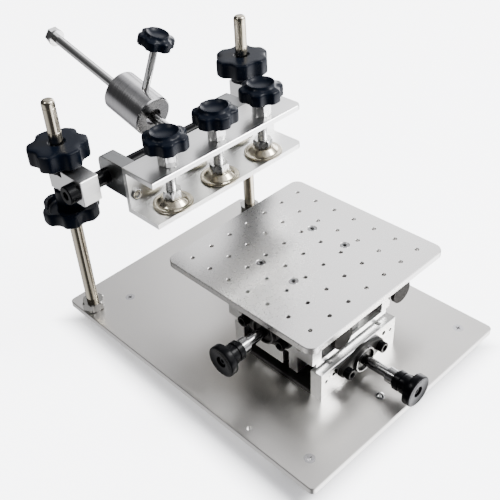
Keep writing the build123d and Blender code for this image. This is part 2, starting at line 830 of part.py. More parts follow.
def make_upper_end(side, height, screw_bore, label):
    """Make one upright end plate of the upper slide: side is -1 at the knob end."""
    outer = upper_x + side * slide_length / 2
    low_x = min(outer, outer - side * end_plate)
    with BuildPart() as plate:
        box_between(
            (low_x, upper_y - slide_width / 2, upper_low + floor_thickness),
            (low_x + end_plate, upper_y + slide_width / 2, upper_low + floor_thickness + height),
        )
        chamfer(plate.edges().group_by(Axis.Z)[-1] + plate.edges().filter_by(Axis.Z), block_edge)
        for y, bore in (
            (upper_y, screw_bore),
            (upper_y - guide_pitch / 2, guide_diameter),
            (upper_y + guide_pitch / 2, guide_diameter),
            (upper_y - bearing_screw_pitch / 2, bearing_screw_diameter),
            (upper_y + bearing_screw_pitch / 2, bearing_screw_diameter),
        ):
            bore_along(Plane((low_x, y, upper_screw_z), x_dir=(0, 1, 0), z_dir=(1, 0, 0)), bore, end_plate)
    save(plate, label)


make_upper_end(-1, upper_left_height, bearing_seat, "upper_left_plate")
make_upper_end(1, upper_right_height, screw_bearing_bore, "upper_right_plate")

with BuildPart() as upper_guides:
    for side in (-1, 1):
        y = upper_y + side * guide_pitch / 2
        guide_rod(Plane((upper_x - slide_length / 2, y, upper_screw_z), (0, 1, 0), (1, 0, 0)))
save(upper_guides, "upper_guides")

with BuildPart() as upper_bearing:
    flange_bearing(upper_left_face)
save(upper_bearing, "upper_bearing")

with BuildPart() as upper_bearing_screws:
    bearing_cap_screws(upper_left_face)
save(upper_bearing_screws, "upper_bearing_screws")

with BuildPart() as upper_lead_screw:
    lead_screw(upper_left_face, upper_knob_reach, slide_length + lead_tail)
save(upper_lead_screw, "upper_lead_screw")

with BuildPart() as upper_hand_knob:
    hand_knob(upper_left_face.offset(upper_knob_reach))
save(upper_hand_knob, "upper_hand_knob")

with BuildPart() as upper_carriage:
    box_between(
        (upper_x - carriage_length / 2, upper_y - carriage_width / 2, upper_carriage_low),
        (upper_x + carriage_length / 2, upper_y + carriage_width / 2, bracket_low),
    )
    for y in (upper_y - guide_pitch / 2, upper_y, upper_y + guide_pitch / 2):
        start = Plane((upper_x - carriage_length / 2, y, upper_screw_z), x_dir=(0, 1, 0), z_dir=(1, 0, 0))
        bore_along(start, guide_diameter + 2 * running_gap, carriage_length)
save(upper_carriage, "upper_carriage")


# Table on its bracket

with BuildPart() as table_bracket:
    bracket_right_x = table_x + table_screw_x / 2 + bracket_margin
    bracket_rear_y = table_y + table_screw_y / 2 + bracket_margin
    box_between(
        (upper_x - carriage_length / 2, upper_y - bracket_front, bracket_low),
        (bracket_right_x, bracket_rear_y, table_low),
    )
    for x, y in table_screw_places:
        bore_along(Plane((x, y, bracket_low)), table_screw_diameter, table_low - bracket_low)
save(table_bracket, "table_bracket")

with BuildPart() as work_table:
    with BuildSketch(Plane((table_x, table_y, table_low))):
        RectangleRounded(table_size, table_size, table_corner)
    extrude(amount=table_thickness)
    chamfer(work_table.edges().group_by(Axis.Z)[-1], plate_edge)
    with BuildSketch(Plane((table_x, table_y, table_low))):
        with GridLocations(pin_pitch, pin_pitch, pin_count, pin_count):
            Circle(pin_diameter / 2)
    extrude(amount=table_thickness, mode=Mode.SUBTRACT)
    table_circles = work_table.edges().filter_by(GeomType.CIRCLE).group_by(Axis.Z)[-1]
    chamfer(table_circles.filter_by(lambda edge: edge.radius < pin_diameter), pin_mouth)
    for x, y in table_screw_places:
        with Locations((x, y, table_top)):
            CounterSinkHole(table_screw_diameter / 2, table_screw_head / 2, counter_sink_angle=90)
save(work_table, "work_table")

with BuildPart() as table_screws:
    for x, y in table_screw_places:
        screw_top = table_top - table_screw_drop
        rod_along(Plane((x, y, bracket_low)), table_screw_diameter, screw_top - bracket_low)
        with Locations((x, y, screw_top - table_screw_sink / 2)):
            Cone(table_screw_diameter / 2, table_screw_head / 2 - table_screw_drop, table_screw_sink)
        with BuildSketch(Plane((x, y, screw_top - table_screw_key_depth))):
            RegularPolygon(table_screw_key / 2, 6, major_radius=False)
        extrude(amount=table_screw_key_depth, mode=Mode.SUBTRACT)
save(table_screws, "table_screws")

with BuildPart() as stop_discs:
    for side in (-1, 1):
        x = stop_disc_x + side * stop_disc_pitch / 2
        face = Plane((x, stop_disc_y, table_low - stop_disc_drop), x_dir=(1, 0, 0), z_dir=(0, 1, 0))
        rod_along(face, stop_disc_diameter, stop_disc_thickness)
        box_between(
            (x - stop_tab / 2, stop_disc_y, table_low - stop_disc_drop),
            (x + stop_tab / 2, stop_disc_y + stop_disc_thickness, table_low),
        )
save(stop_discs, "stop_discs")
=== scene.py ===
"""Looks of a stencil printing station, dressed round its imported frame.

Sizes are in millimetres in every class and turn into metres where a mesh is made.
The origin is the middle of the base plate's underside, +Y points to the posts, +Z up.
"""

import logging
import math
from dataclasses import dataclass
from enum import Enum

import bmesh
import bpy
import numpy as np
from mathutils import Matrix


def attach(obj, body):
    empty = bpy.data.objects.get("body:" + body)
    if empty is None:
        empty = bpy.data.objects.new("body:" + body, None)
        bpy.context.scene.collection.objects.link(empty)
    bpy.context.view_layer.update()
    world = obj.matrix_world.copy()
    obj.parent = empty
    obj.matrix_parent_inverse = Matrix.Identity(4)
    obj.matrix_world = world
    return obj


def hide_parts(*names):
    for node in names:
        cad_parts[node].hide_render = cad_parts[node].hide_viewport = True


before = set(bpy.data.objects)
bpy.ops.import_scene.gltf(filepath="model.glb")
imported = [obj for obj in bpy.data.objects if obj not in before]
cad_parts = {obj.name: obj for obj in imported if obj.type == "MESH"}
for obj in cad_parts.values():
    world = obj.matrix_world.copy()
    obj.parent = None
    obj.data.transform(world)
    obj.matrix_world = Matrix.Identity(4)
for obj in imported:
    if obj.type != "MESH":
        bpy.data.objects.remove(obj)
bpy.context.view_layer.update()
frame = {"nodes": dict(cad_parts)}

MM = 0.001
DECK = 5.0
SEGMENTS = 96
POST_PLACE = (93.0, 114.5)
PIVOT = (87.5, DECK + 131.0)
UP = (0, 0, 1)
Triple = tuple[float, float, float]
Surface = tuple[np.ndarray, np.ndarray]
log = logging.getLogger("station")


class Grain(Enum):
    """Direction in which the fine marks of a finish run, as noise cycles per metre on X, Y and Z."""

    EVEN = (900.0, 900.0, 900.0)
    ALONG_X = (14.0, 900.0, 900.0)
    ALONG_Y = (900.0, 14.0, 900.0)
    ROUND_Y = (60.0, 1100.0, 60.0)
    ROUND_Z = (60.0, 60.0, 1100.0)
    COARSE = (2600.0, 2600.0, 2600.0)


@dataclass(frozen=True)
class Finish:
    """One surface finish: its colour, its gloss and the marks that break both up."""

    name: str
    slot: str
    color: Triple
    roughness: float
    grain: Grain = Grain.EVEN
    streak: float = 0.05
    cloud: float = 0.04
    rough_spread: float = 0.05
    bump: float = 0.0
    metallic: float = 1.0
    depth: float = 0.00005
    specular: float = 0.5
    glow: float = 0.0
    ior: float = 1.5

    def material(self) -> bpy.types.Material:
        """Return the finish's material, made once and then shared.

        Returns:
            A node material that reads Object coordinates: stretched noise gives the streaks,
            wide noise gives soft stains, and both move the colour and the roughness.
        """
        title = f"dressed_{self.name}"
        known = bpy.data.materials.get(title)
        if known is not None:
            return known
        made = bpy.data.materials.new(title)
        made.use_nodes = True
        nodes, links = made.node_tree.nodes, made.node_tree.links
        shader = nodes["Principled BSDF"]
        shader.inputs["Metallic"].default_value = self.metallic
        shader.inputs["Specular IOR Level"].default_value = self.specular
        shader.inputs["IOR"].default_value = self.ior
        shader.inputs["Emission Color"].default_value = (*self.color, 1.0)
        shader.inputs["Emission Strength"].default_value = self.glow
        place = nodes.new("ShaderNodeTexCoord")
        stretch = nodes.new("ShaderNodeMapping")
        stretch.inputs["Scale"].default_value = self.grain.value
        streaks = nodes.new("ShaderNodeTexNoise")
        streaks.inputs["Scale"].default_value = 1.0
        streaks.inputs["Detail"].default_value = 5.0
        stains = nodes.new("ShaderNodeTexNoise")
        stains.inputs["Scale"].default_value = 16.0
        stains.inputs["Detail"].default_value = 3.0
        links.new(place.outputs["Object"], stretch.inputs["Vector"])
        links.new(stretch.outputs["Vector"], streaks.inputs["Vector"])
        links.new(place.outputs["Object"], stains.inputs["Vector"])
        marks = self._shade(nodes, links, streaks.outputs["Fac"], self.streak)
        marks = self._shade(nodes, links, stains.outputs["Fac"], self.cloud, marks)
        links.new(marks, shader.inputs["Base Color"])
        gloss = nodes.new("ShaderNodeMapRange")
        gloss.inputs["From Min"].default_value = 0.3
        gloss.inputs["From Max"].default_value = 0.7
        gloss.inputs["To Min"].default_value = max(self.roughness - self.rough_spread, 0.04)
        gloss.inputs["To Max"].default_value = self.roughness + self.rough_spread
        links.new(streaks.outputs["Fac"], gloss.inputs["Value"])
        links.new(gloss.outputs["Result"], shader.inputs["Roughness"])
        relief = nodes.new("ShaderNodeBump")
        relief.inputs["Strength"].default_value = self.bump
        relief.inputs["Distance"].default_value = self.depth
        links.new(streaks.outputs["Fac"], relief.inputs["Height"])
        links.new(relief.outputs["Normal"], shader.inputs["Normal"])
        return made

    def _shade(
        self,
        nodes: bpy.types.Nodes,
        links: bpy.types.NodeLinks,
        factor: bpy.types.NodeSocket,
        amount: float,
        under: bpy.types.NodeSocket | None = None,
    ) -> bpy.types.NodeSocket:
        """Darken and lighten a colour by a noise.

        Args:
            nodes: The material's nodes.
            links: The material's links.
            factor: The noise output that drives the mix.
            amount: How far the colour moves to either side, as a share of itself.
            under: The colour socket to change, or None for the finish's own colour.

        Returns:
            The socket of the shaded colour.
        """
        spread = nodes.new("ShaderNodeMapRange")
        spread.inputs["From Min"].default_value = 0.25
        spread.inputs["From Max"].default_value = 0.75
        spread.inputs["To Min"].default_value = 1.0 - amount
        spread.inputs["To Max"].default_value = 1.0 + amount
        links.new(factor, spread.inputs["Value"])
        tone = nodes.new("ShaderNodeVectorMath")
        tone.operation = "SCALE"
        if under is None:
            tone.inputs[0].default_value = self.color
        else:
            links.new(under, tone.inputs[0])
        links.new(spread.outputs["Result"], tone.inputs["Scale"])
        return tone.outputs["Vector"]

    def dress(self, *objects: bpy.types.Object) -> None:
        """Give each object this finish as its only material."""
        for thing in objects:
            thing.data.materials.clear()
            thing.data.materials.append(self.material())


BASE_ALUMINIUM = Finish(
    "base_aluminium", "base_plate_finish", (0.60, 0.585, 0.56), 0.34, streak=0.02, rough_spread=0.008
)
TABLE_ALUMINIUM = Finish(
    "table_aluminium", "table_finish", (0.62, 0.61, 0.595), 0.28, streak=0.03, cloud=0.03, rough_spread=0.012
)
MILLED_ALUMINIUM = Finish(
    "milled_aluminium", "milled_aluminium", (0.76, 0.76, 0.75), 0.32, Grain.ALONG_X, rough_spread=0.015
)
BLACK_KNOB = Finish(
    "black_knob", "black_knob", (0.0008, 0.0028, 0.0080), 0.34, Grain.COARSE,
    streak=0.15, cloud=0.08, rough_spread=0.04, bump=0.05, metallic=0.0, ior=1.22,
)
BLACK_METAL = Finish(
    "black_metal", "black_metal", (0.0016, 0.0018, 0.0024), 0.24,
    streak=0.12, cloud=0.08, rough_spread=0.04, bump=0.02, metallic=0.0, ior=1.17,
)
# Dark cast iron of the bearing flanges. On the upper carriage and the lower floor the same near-black is
# painted shade for the slide's hollow.
CAST_IRON_AND_SHADE = Finish(
    "cast_iron_and_shade", "black_metal", (0.022, 0.0215, 0.02), 0.4, Grain.COARSE,
    streak=0.15, cloud=0.12, rough_spread=0.06, bump=0.15, metallic=0.8,
)
STEEL = Finish(
    "steel", "steel", (0.62, 0.62, 0.61), 0.16, Grain.ROUND_Y, streak=0.06, cloud=0.05, rough_spread=0.02
)
NICKEL = Finish(
    "nickel", "nickel_steel", (0.50, 0.455, 0.36), 0.16, Grain.ROUND_Z,
    streak=0.06, cloud=0.06, rough_spread=0.02,
)
NUT_STEEL = Finish(
    "nut_steel", "nickel_steel", (0.27, 0.265, 0.25), 0.2, Grain.ROUND_Z,
    streak=0.06, cloud=0.06, rough_spread=0.02,
)
DARK_STEEL = Finish(
    "dark_steel", "steel", (0.2, 0.2, 0.2), 0.16, Grain.ROUND_Y,
    streak=0.08, cloud=0.05, rough_spread=0.03, bump=0.04,
)
ARM_STEEL = Finish(
    "arm_steel", "milled_aluminium", (0.27, 0.275, 0.275), 0.3, Grain.ALONG_Y,
    streak=0.06, cloud=0.06, rough_spread=0.03, bump=0.04,
)
WEIGHT_STEEL = Finish(
    "weight_steel", "weight_steel", (0.45, 0.445, 0.45), 0.18, Grain.ROUND_Y,
    streak=0.1, cloud=0.08, rough_spread=0.03, bump=0.04,
)
WORN_BLACK = Finish(
    "worn_black", "black_metal", (0.022, 0.020, 0.018), 0.5, Grain.COARSE,
    streak=0.2, cloud=0.15, rough_spread=0.06, bump=0.1, metallic=0.0, specular=0.06,
)
# Near-black metal for a thin sheet on the weight's end face: painted shade.
SHADED_END_FACE = Finish(
    "shaded_end_face", "weight_steel", (0.035, 0.035, 0.036), 0.28, Grain.ROUND_Y,
    streak=0.2, cloud=0.12, rough_spread=0.06, bump=0.1,
)
RUBBER = Finish(
    "rubber", "rubber", (0.02, 0.02, 0.02), 0.7, Grain.COARSE, streak=0.1, cloud=0.1, bump=0.1, metallic=0.0
)
FLOOR_WHITE = Finish(
    "floor_white", "", (0.86, 0.865, 0.885), 0.7,
    streak=0.0, cloud=0.004, rough_spread=0.02, metallic=0.0, specular=0.0, glow=6.0,
)


def upright(direction: Triple) -> np.ndarray:
    """Return three rows: two unit directions square to the given one, then the given one.

    Args:
        direction: The way that a turned piece's axis points.

    Returns:
        A 3 by 3 array of right-handed unit rows (side, other side, axis).
    """
    axis = np.array(direction, float)
    axis /= np.linalg.norm(axis)
    seed = np.array((1.0, 0.0, 0.0)) if abs(axis[0]) < 0.9 else np.array((0.0, 1.0, 0.0))
    side = seed - axis * seed.dot(axis)
    side /= np.linalg.norm(side)
    return np.array((side, np.cross(axis, side), axis))


def grid_faces(rows: int, columns: int, ring: bool) -> np.ndarray:
    """Return the quads of a grid whose columns close on themselves.

    Args:
        rows: Number of grid rows.
        columns: Number of grid columns.
        ring: Whether the last row joins the first.

    Returns:
        An array of four vertex numbers a face: each cell's corners in turn.
    """
    row = np.arange(rows if ring else rows - 1)[:, None]
    column = np.arange(columns)[None, :]
    after_row, after_column = (row + 1) % rows, (column + 1) % columns
    corners = (
        row * columns + column,
        row * columns + after_column,
        after_row * columns + after_column,
        after_row * columns + column,
    )
    return np.stack([np.broadcast_to(c, (row.size, columns)) for c in corners], -1).reshape(-1, 4)


def make_object(name: str, parts: list[Surface], sharp: float = 32.0) -> bpy.types.Object:
    """Join point and face arrays into one object at the origin.

    Args:
        name: The piece's name.
        parts: Pairs of an n by 3 point array in millimetres and a face array.
        sharp: Edges that bend more than this many degrees stay sharp.

    Returns:
        The new object. Its doubled points are merged and its faces point outwards.
    """
    starts = np.cumsum([0] + [len(points) for points, _ in parts[:-1]])
    points = np.concatenate([points for points, _ in parts]) * MM
    faces = np.concatenate([faces + start for (_, faces), start in zip(parts, starts)])
    mesh = bpy.data.meshes.new(name)
    mesh.from_pydata(points.tolist(), [], faces.tolist())
    shell = bmesh.new()
    shell.from_mesh(mesh)
    bmesh.ops.remove_doubles(shell, verts=shell.verts, dist=2e-6)
    bmesh.ops.recalc_face_normals(shell, faces=shell.faces)
    shell.to_mesh(mesh)
    shell.free()
    mesh.shade_smooth()
    mesh.set_sharp_from_angle(angle=math.radians(sharp))
    made = bpy.data.objects.new(name, mesh)
    bpy.context.scene.collection.objects.link(made)
    return made


def turned(
    radius: np.ndarray,
    height: np.ndarray,
    origin: Triple,
    direction: Triple,
    ring: bool = False,
    phase: float = 0.0,
) -> Surface:
    """Work out a closed form of turning whose radius may change with the angle.

    A point is origin + r(s, t) cos t side + r(s, t) sin t other side + h(s, t) axis, where s counts
    the stations of the profile and t is the angle round the axis.

    Args:
        radius: Radius at each station, or at each station and angle.
        height: Height at each station, or at each station and angle.
        origin: Point on the axis, in millimetres.
        direction: Way of the axis.
        ring: Whether the profile closes on itself, as on a piece with a bore.
        phase: Turn of the form about its axis, in degrees.

    Returns:
        The point array and the face array.
    """
    radius, height = (np.atleast_2d(a.T).T if a.ndim == 1 else a for a in (radius, height))
    columns = max(radius.shape[1], height.shape[1], 1)
    columns = SEGMENTS if columns == 1 else columns
    radius = np.broadcast_to(radius, (radius.shape[0], columns))
    height = np.broadcast_to(height, (radius.shape[0], columns))
    angle = np.arange(columns) * 2 * math.pi / columns + math.radians(phase)
    side, other, axis = upright(direction)
    points = (
        np.array(origin, float)
        + (radius * np.cos(angle))[..., None] * side
        + (radius * np.sin(angle))[..., None] * other
        + height[..., None] * axis
    )
    return points.reshape(-1, 3), grid_faces(radius.shape[0], columns, ring)


def lathe(
    profile: list[tuple[float, float]], origin: Triple, direction: Triple, ring: bool = False
) -> Surface:
    """Turn a plain profile about an axis.

    Args:
        profile: Pairs of (radius, height).
        origin: Point on the axis.
        direction: Way of the axis.
        ring: Whether the profile closes on itself.

    Returns:
        The point array and the face array.
    """
    table = np.array(profile, float)
    return turned(table[:, 0], table[:, 1], origin, direction, ring)


def hexagon_edge(flats: float) -> np.ndarray:
    """Return a hexagon's distance from its middle at each angle.

    Args:
        flats: Width across the flats.

    Returns:
        One distance for each of the SEGMENTS angles, with a flat's middle at the first.
    """
    angle = np.arange(SEGMENTS) * 2 * math.pi / SEGMENTS
    folded = (angle + math.pi / 6) % (math.pi / 3) - math.pi / 6
    return flats / 2 / np.cos(folded)


def hexagon(
    profile: list[tuple[float, float]], flats: float, origin: Triple, direction: Triple, phase: float
) -> Surface:
    """Turn a bored profile held inside a hexagon: r(s, t) is the lesser of its radius and the hexagon's.

    Args:
        profile: Pairs of (radius, height). Radii under half the flats stay round.
        flats: Width across the flats.
        origin: Point on the axis.
        direction: Way of the axis.
        phase: Turn about the axis, in degrees.

    Returns:
        The point array and the face array.
    """
    table = np.array(profile, float)
    radius = np.minimum(table[:, :1], hexagon_edge(flats)[None, :])
    return turned(radius, table[:, 1], origin, direction, True, phase)


def nut_profile(
    flats: float, tall: float, bore: float, below: float, above: float
) -> list[tuple[float, float]]:
    """Return a nut's profile, with the corners chamfered at both ends.

    Args:
        flats: Width across the flats.
        tall: Height of the nut.
        bore: Radius of the bore.
        below: Height of the lower chamfer.
        above: Height of the upper chamfer.

    Returns:
        Pairs of (radius, height).
    """
    half, wide = flats / 2, flats / 2 / math.cos(math.pi / 6)
    return [(bore, 0), (half, 0), (wide, below), (wide, tall - above), (half, tall), (bore, tall)]


def socketed(profile: list[tuple[float, float]], flats: float, depths: list[float]) -> Surface:
    """Return radii and heights of a profile that ends in a hexagon socket.

    Args:
        profile: Pairs of (radius, height) up to the socket's rim.
        flats: Width across the socket's flats.
        depths: Heights of the socket's rim, of its floor's edge and of its floor's middle.

    Returns:
        The radius at each station and angle, and the height at each station.
    """
    table, socket = np.array(profile, float), hexagon_edge(flats)
    outside = np.broadcast_to(table[:, :1], (len(table), SEGMENTS))
    radius = np.concatenate((outside, [socket, socket, np.zeros(SEGMENTS)]))
    return radius, np.concatenate((table[:, 1], depths))


def cap_head(
    head: float, tall: float, shank: float, reach: float, origin: Triple, direction: Triple, key: float = 0.0
) -> Surface:
    """Work out a socket head screw: head on the origin's plane, shank behind it, hexagon socket in front.

    Args:
        head: Head diameter.
        tall: Head height.
        shank: Shank diameter.
        reach: Shank length.
        origin: Middle of the face that the head stands on.
        direction: Way that the head points.
        key: Width across the flats of the socket, or 0 for half the head.

    Returns:
        The point array and the face array.
    """
    key = key or head * 0.52
    profile = [
        (0, -reach), (shank / 2 - 0.4, -reach), (shank / 2, -reach + 0.4), (shank / 2, 0), (head / 2, 0),
        (head / 2, tall - head * 0.05), (head / 2 - head * 0.05, tall), (key * 0.68, tall),
    ]
    return turned(*socketed(profile, key, [tall - 0.15, tall * 0.4, tall * 0.4]), origin, direction)


@dataclass
class StarKnob:
    """A six lobed grip whose outline is a circle cut by six round notches, softened at the lobes."""

    name: str
    nodes: tuple[str, ...]
    body: str
    origin: Triple
    direction: Triple
    stations: list[Triple]
    phase: float = 0.0
    ring: bool = False
    notch_centre: float = 1.27
    notch_radius: float = 0.42
    soften: float = 2.6
    sharp: float = 30.0

    def outline(self, columns: int = 144) -> np.ndarray:
        """Return the outline's share of the full radius at each angle.

        Along a ray at angle a from a notch's middle the notch circle is met at
        c cos a - sqrt(n^2 - c^2 sin^2 a); the lesser of that and 1 is then averaged over a few degrees.

        Args:
            columns: Number of angles.

        Returns:
            One share for each angle, 1 at a lobe's crown.
        """
        angle = np.arange(columns) * 360.0 / columns
        away = np.radians((angle + 30.0) % 60.0 - 30.0)
        inside = self.notch_radius ** 2 - (self.notch_centre * np.sin(away)) ** 2
        met = self.notch_centre * np.cos(away) - np.sqrt(np.maximum(inside, 0.0))
        edge = np.where(inside > 0, np.minimum(met, 1.0), 1.0)
        gap = (angle + 180.0) % 360.0 - 180.0
        weight = np.exp(-0.5 * (gap / self.soften) ** 2)
        return np.real(np.fft.ifft(np.fft.fft(edge) * np.fft.fft(weight))) / weight.sum()

    def build(self) -> bpy.types.Object:
        """Build, dress and place the knob.

        Each station is (radius, height, share): the outline shapes the radius by its share, so a
        share of 0 is round and 1 has the full lobes.

        Returns:
            The knob's object, riding on its body.
        """
        table = np.array(self.stations, float)
        outline = self.outline()
        shape = 1.0 - table[:, 2:3] * (1.0 - outline[None, :])
        radius = table[:, :1] * shape
        made = make_object(
            self.name,
            [turned(radius, table[:, 1], self.origin, self.direction, self.ring, self.phase)],
            self.sharp,
        )
        return finish_piece(made, self.body, BLACK_KNOB, *self.nodes)


def finish_piece(piece: bpy.types.Object, body: str, finish: Finish, *nodes: str) -> bpy.types.Object:
    """Dress a piece, put it on its body and the nodes that it stands for, and report it.

    Args:
        piece: The new object.
        body: The body that it moves with.
        finish: The finish that it wears.
        nodes: The frame's nodes that it replaces.

    Returns:
        The same object.
    """
    finish.dress(piece)
    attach(piece, body)
    if nodes:
        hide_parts(*nodes)
    log.info("%s rides on %s, %d faces", piece.name, body, len(piece.data.polygons))
    return piece


@dataclass
class Base:
    """Base plate, feet and the two posts."""

    post_radius: float = 5.0
    post_top: float = DECK + 191.0
    tip_round: float = 2.6
    ring_depth: float = 0.15
    nut_flats: float = 17.0
    nut_height: float = 8.0
    nut_turn: float = 20.0

    def build(self) -> None:
        """Dress the plate and build the posts and their nuts."""
        nodes = frame["nodes"]
        BASE_ALUMINIUM.dress(nodes["base_plate"])
        RUBBER.dress(nodes["rubber_feet"])
        STEEL.dress(nodes["dome_screw"])
        WEIGHT_STEEL.dress(nodes["foot_screws"])
        for side, name in ((-1, "left_post"), (1, "right_post")):
            self.post(side, name)
        self.post_nuts()

    def post(self, side: int, node: str) -> bpy.types.Object:
        """Turn one post: straight, with a fine ring below a domed tip.

        Args:
            side: -1 for the left post and 1 for the right one.
            node: The frame's node that it replaces.

        Returns:
            The post's object.
        """
        r, top, tip = self.post_radius, self.post_top, self.tip_round
        groove = r - self.ring_depth
        arc = np.radians(np.linspace(0, 90, 9))
        profile = [
            (0, 0), (r, 0), (r, top - 25), (groove, top - 24.8), (groove, top - 24.4), (r, top - 24.2),
            (r, top - 6.2), (groove, top - 6.0), (groove, top - 5.6), (r, top - 5.4),
            *((r - tip + tip * math.cos(a), top - tip + tip * math.sin(a)) for a in arc), (0, top),
        ]
        made = make_object("dressed_" + node, [lathe(profile, (side * POST_PLACE[0], POST_PLACE[1], 0), UP)])
        return finish_piece(made, "base", NICKEL, node)

    def post_nuts(self) -> bpy.types.Object:
        """Build the two hexagon nuts at the posts' feet.

        Returns:
            Both nuts as one object.
        """
        profile = nut_profile(self.nut_flats, self.nut_height, self.post_radius, 0.9, 0.9)
        parts = [
            hexagon(profile, self.nut_flats, (side * POST_PLACE[0], POST_PLACE[1], DECK), UP, self.nut_turn)
            for side in (-1, 1)
        ]
        made = make_object("dressed_post_nuts", parts)
        return finish_piece(made, "base", NUT_STEEL, "post_base_nuts")


@dataclass
class Lift:
    """Mount blocks and the four knobs that set their height."""

    block_low: float = DECK + 120.5
    block_step: float = 14.5
    face_gap: float = 0.3
    knob_radius: float = 22.6
    hub_radius: float = 10.0
    bore_radius: float = 5.15
    well_radius: float = 7.8
    upper_lobes: tuple[float, float] = (8.0, 14.5)
    lower_lobes: tuple[float, float] = (14.0, 11.0)

    def build(self) -> None:
        """Dress the blocks and build the knobs."""
        MILLED_ALUMINIUM.dress(frame["nodes"]["left_mount_block"], frame["nodes"]["right_mount_block"])
        for side, word in ((-1, "left"), (1, "right")):
            self.knob(side, 1, f"{word}_upper_knob", *self.upper_lobes)
            self.knob(side, -1, f"{word}_lower_knob", *self.lower_lobes)

    def knob(self, side: int, up: int, node: str, hub: float, lobes: float) -> bpy.types.Object:
        """Build one post knob: a hub against the block, then the lobes with a sunk ring under them.

        Args:
            side: -1 for the left post and 1 for the right one.
            up: 1 for the knob above the block and -1 for the one below.
            node: The frame's node that it replaces.
            hub: Height of the hub.
            lobes: Height of the lobes.

        Returns:
            The knob's object.
        """
        face = self.block_low + self.block_step + self.face_gap if up > 0 else self.block_low - self.face_gap
        r, bore, h, top = self.knob_radius, self.bore_radius, self.hub_radius, hub + lobes
        if up > 0:
            well, sink = bore + 1.2, 1.2
            skirt = [
                (h + 0.2, 4.6, 0), (h + 1.2, 5.7, 0), (h + 3.4, 6.6, 0.1), (h + 6.2, 7.4, 0.4),
                (h + 8.6, hub, 0.75), (r - 1.4, hub + 0.5, 0.95),
            ]
        else:
            well, sink = self.well_radius, 5.0
            skirt = [
                (h + 0.3, hub + 4.5, 0), (h + 1.0, hub + 5.4, 0), (r * 0.74, hub + 5.4, 0),
                (r * 0.79, hub + 4.6, 0.1), (r * 0.82, hub + 0.7, 0.3), (r * 0.845, hub + 0.1, 0.5),
                (r * 0.90, hub, 0.9), (r - 0.9, hub, 1),
            ]
        stations = [
            (bore, 0, 0), (h - 0.5, 0, 0), (h, 0.5, 0), *skirt, (r - 0.25, hub + 1.2, 1), (r, hub + 2.4, 1),
            (r, top - 2.4, 1), (r - 0.3, top - 1.2, 1), (r - 1.0, top - 0.5, 1), (r - 2.4, top - 0.1, 1),
            (r * 0.7, top, 0.5), (well + 0.6, top, 0), (well, top - 0.5, 0), (well, top - sink, 0),
            (bore, top - sink - 0.4, 0),
        ]
        phase = {(-1, 1): 0.0, (1, 1): 15.0, (-1, -1): 35.0, (1, -1): 20.0}[side, up]
        origin = (side * POST_PLACE[0], POST_PLACE[1], face)
        return StarKnob("dressed_" + node, (node,), node, origin, (0, 0, up), stations, phase, True).build()


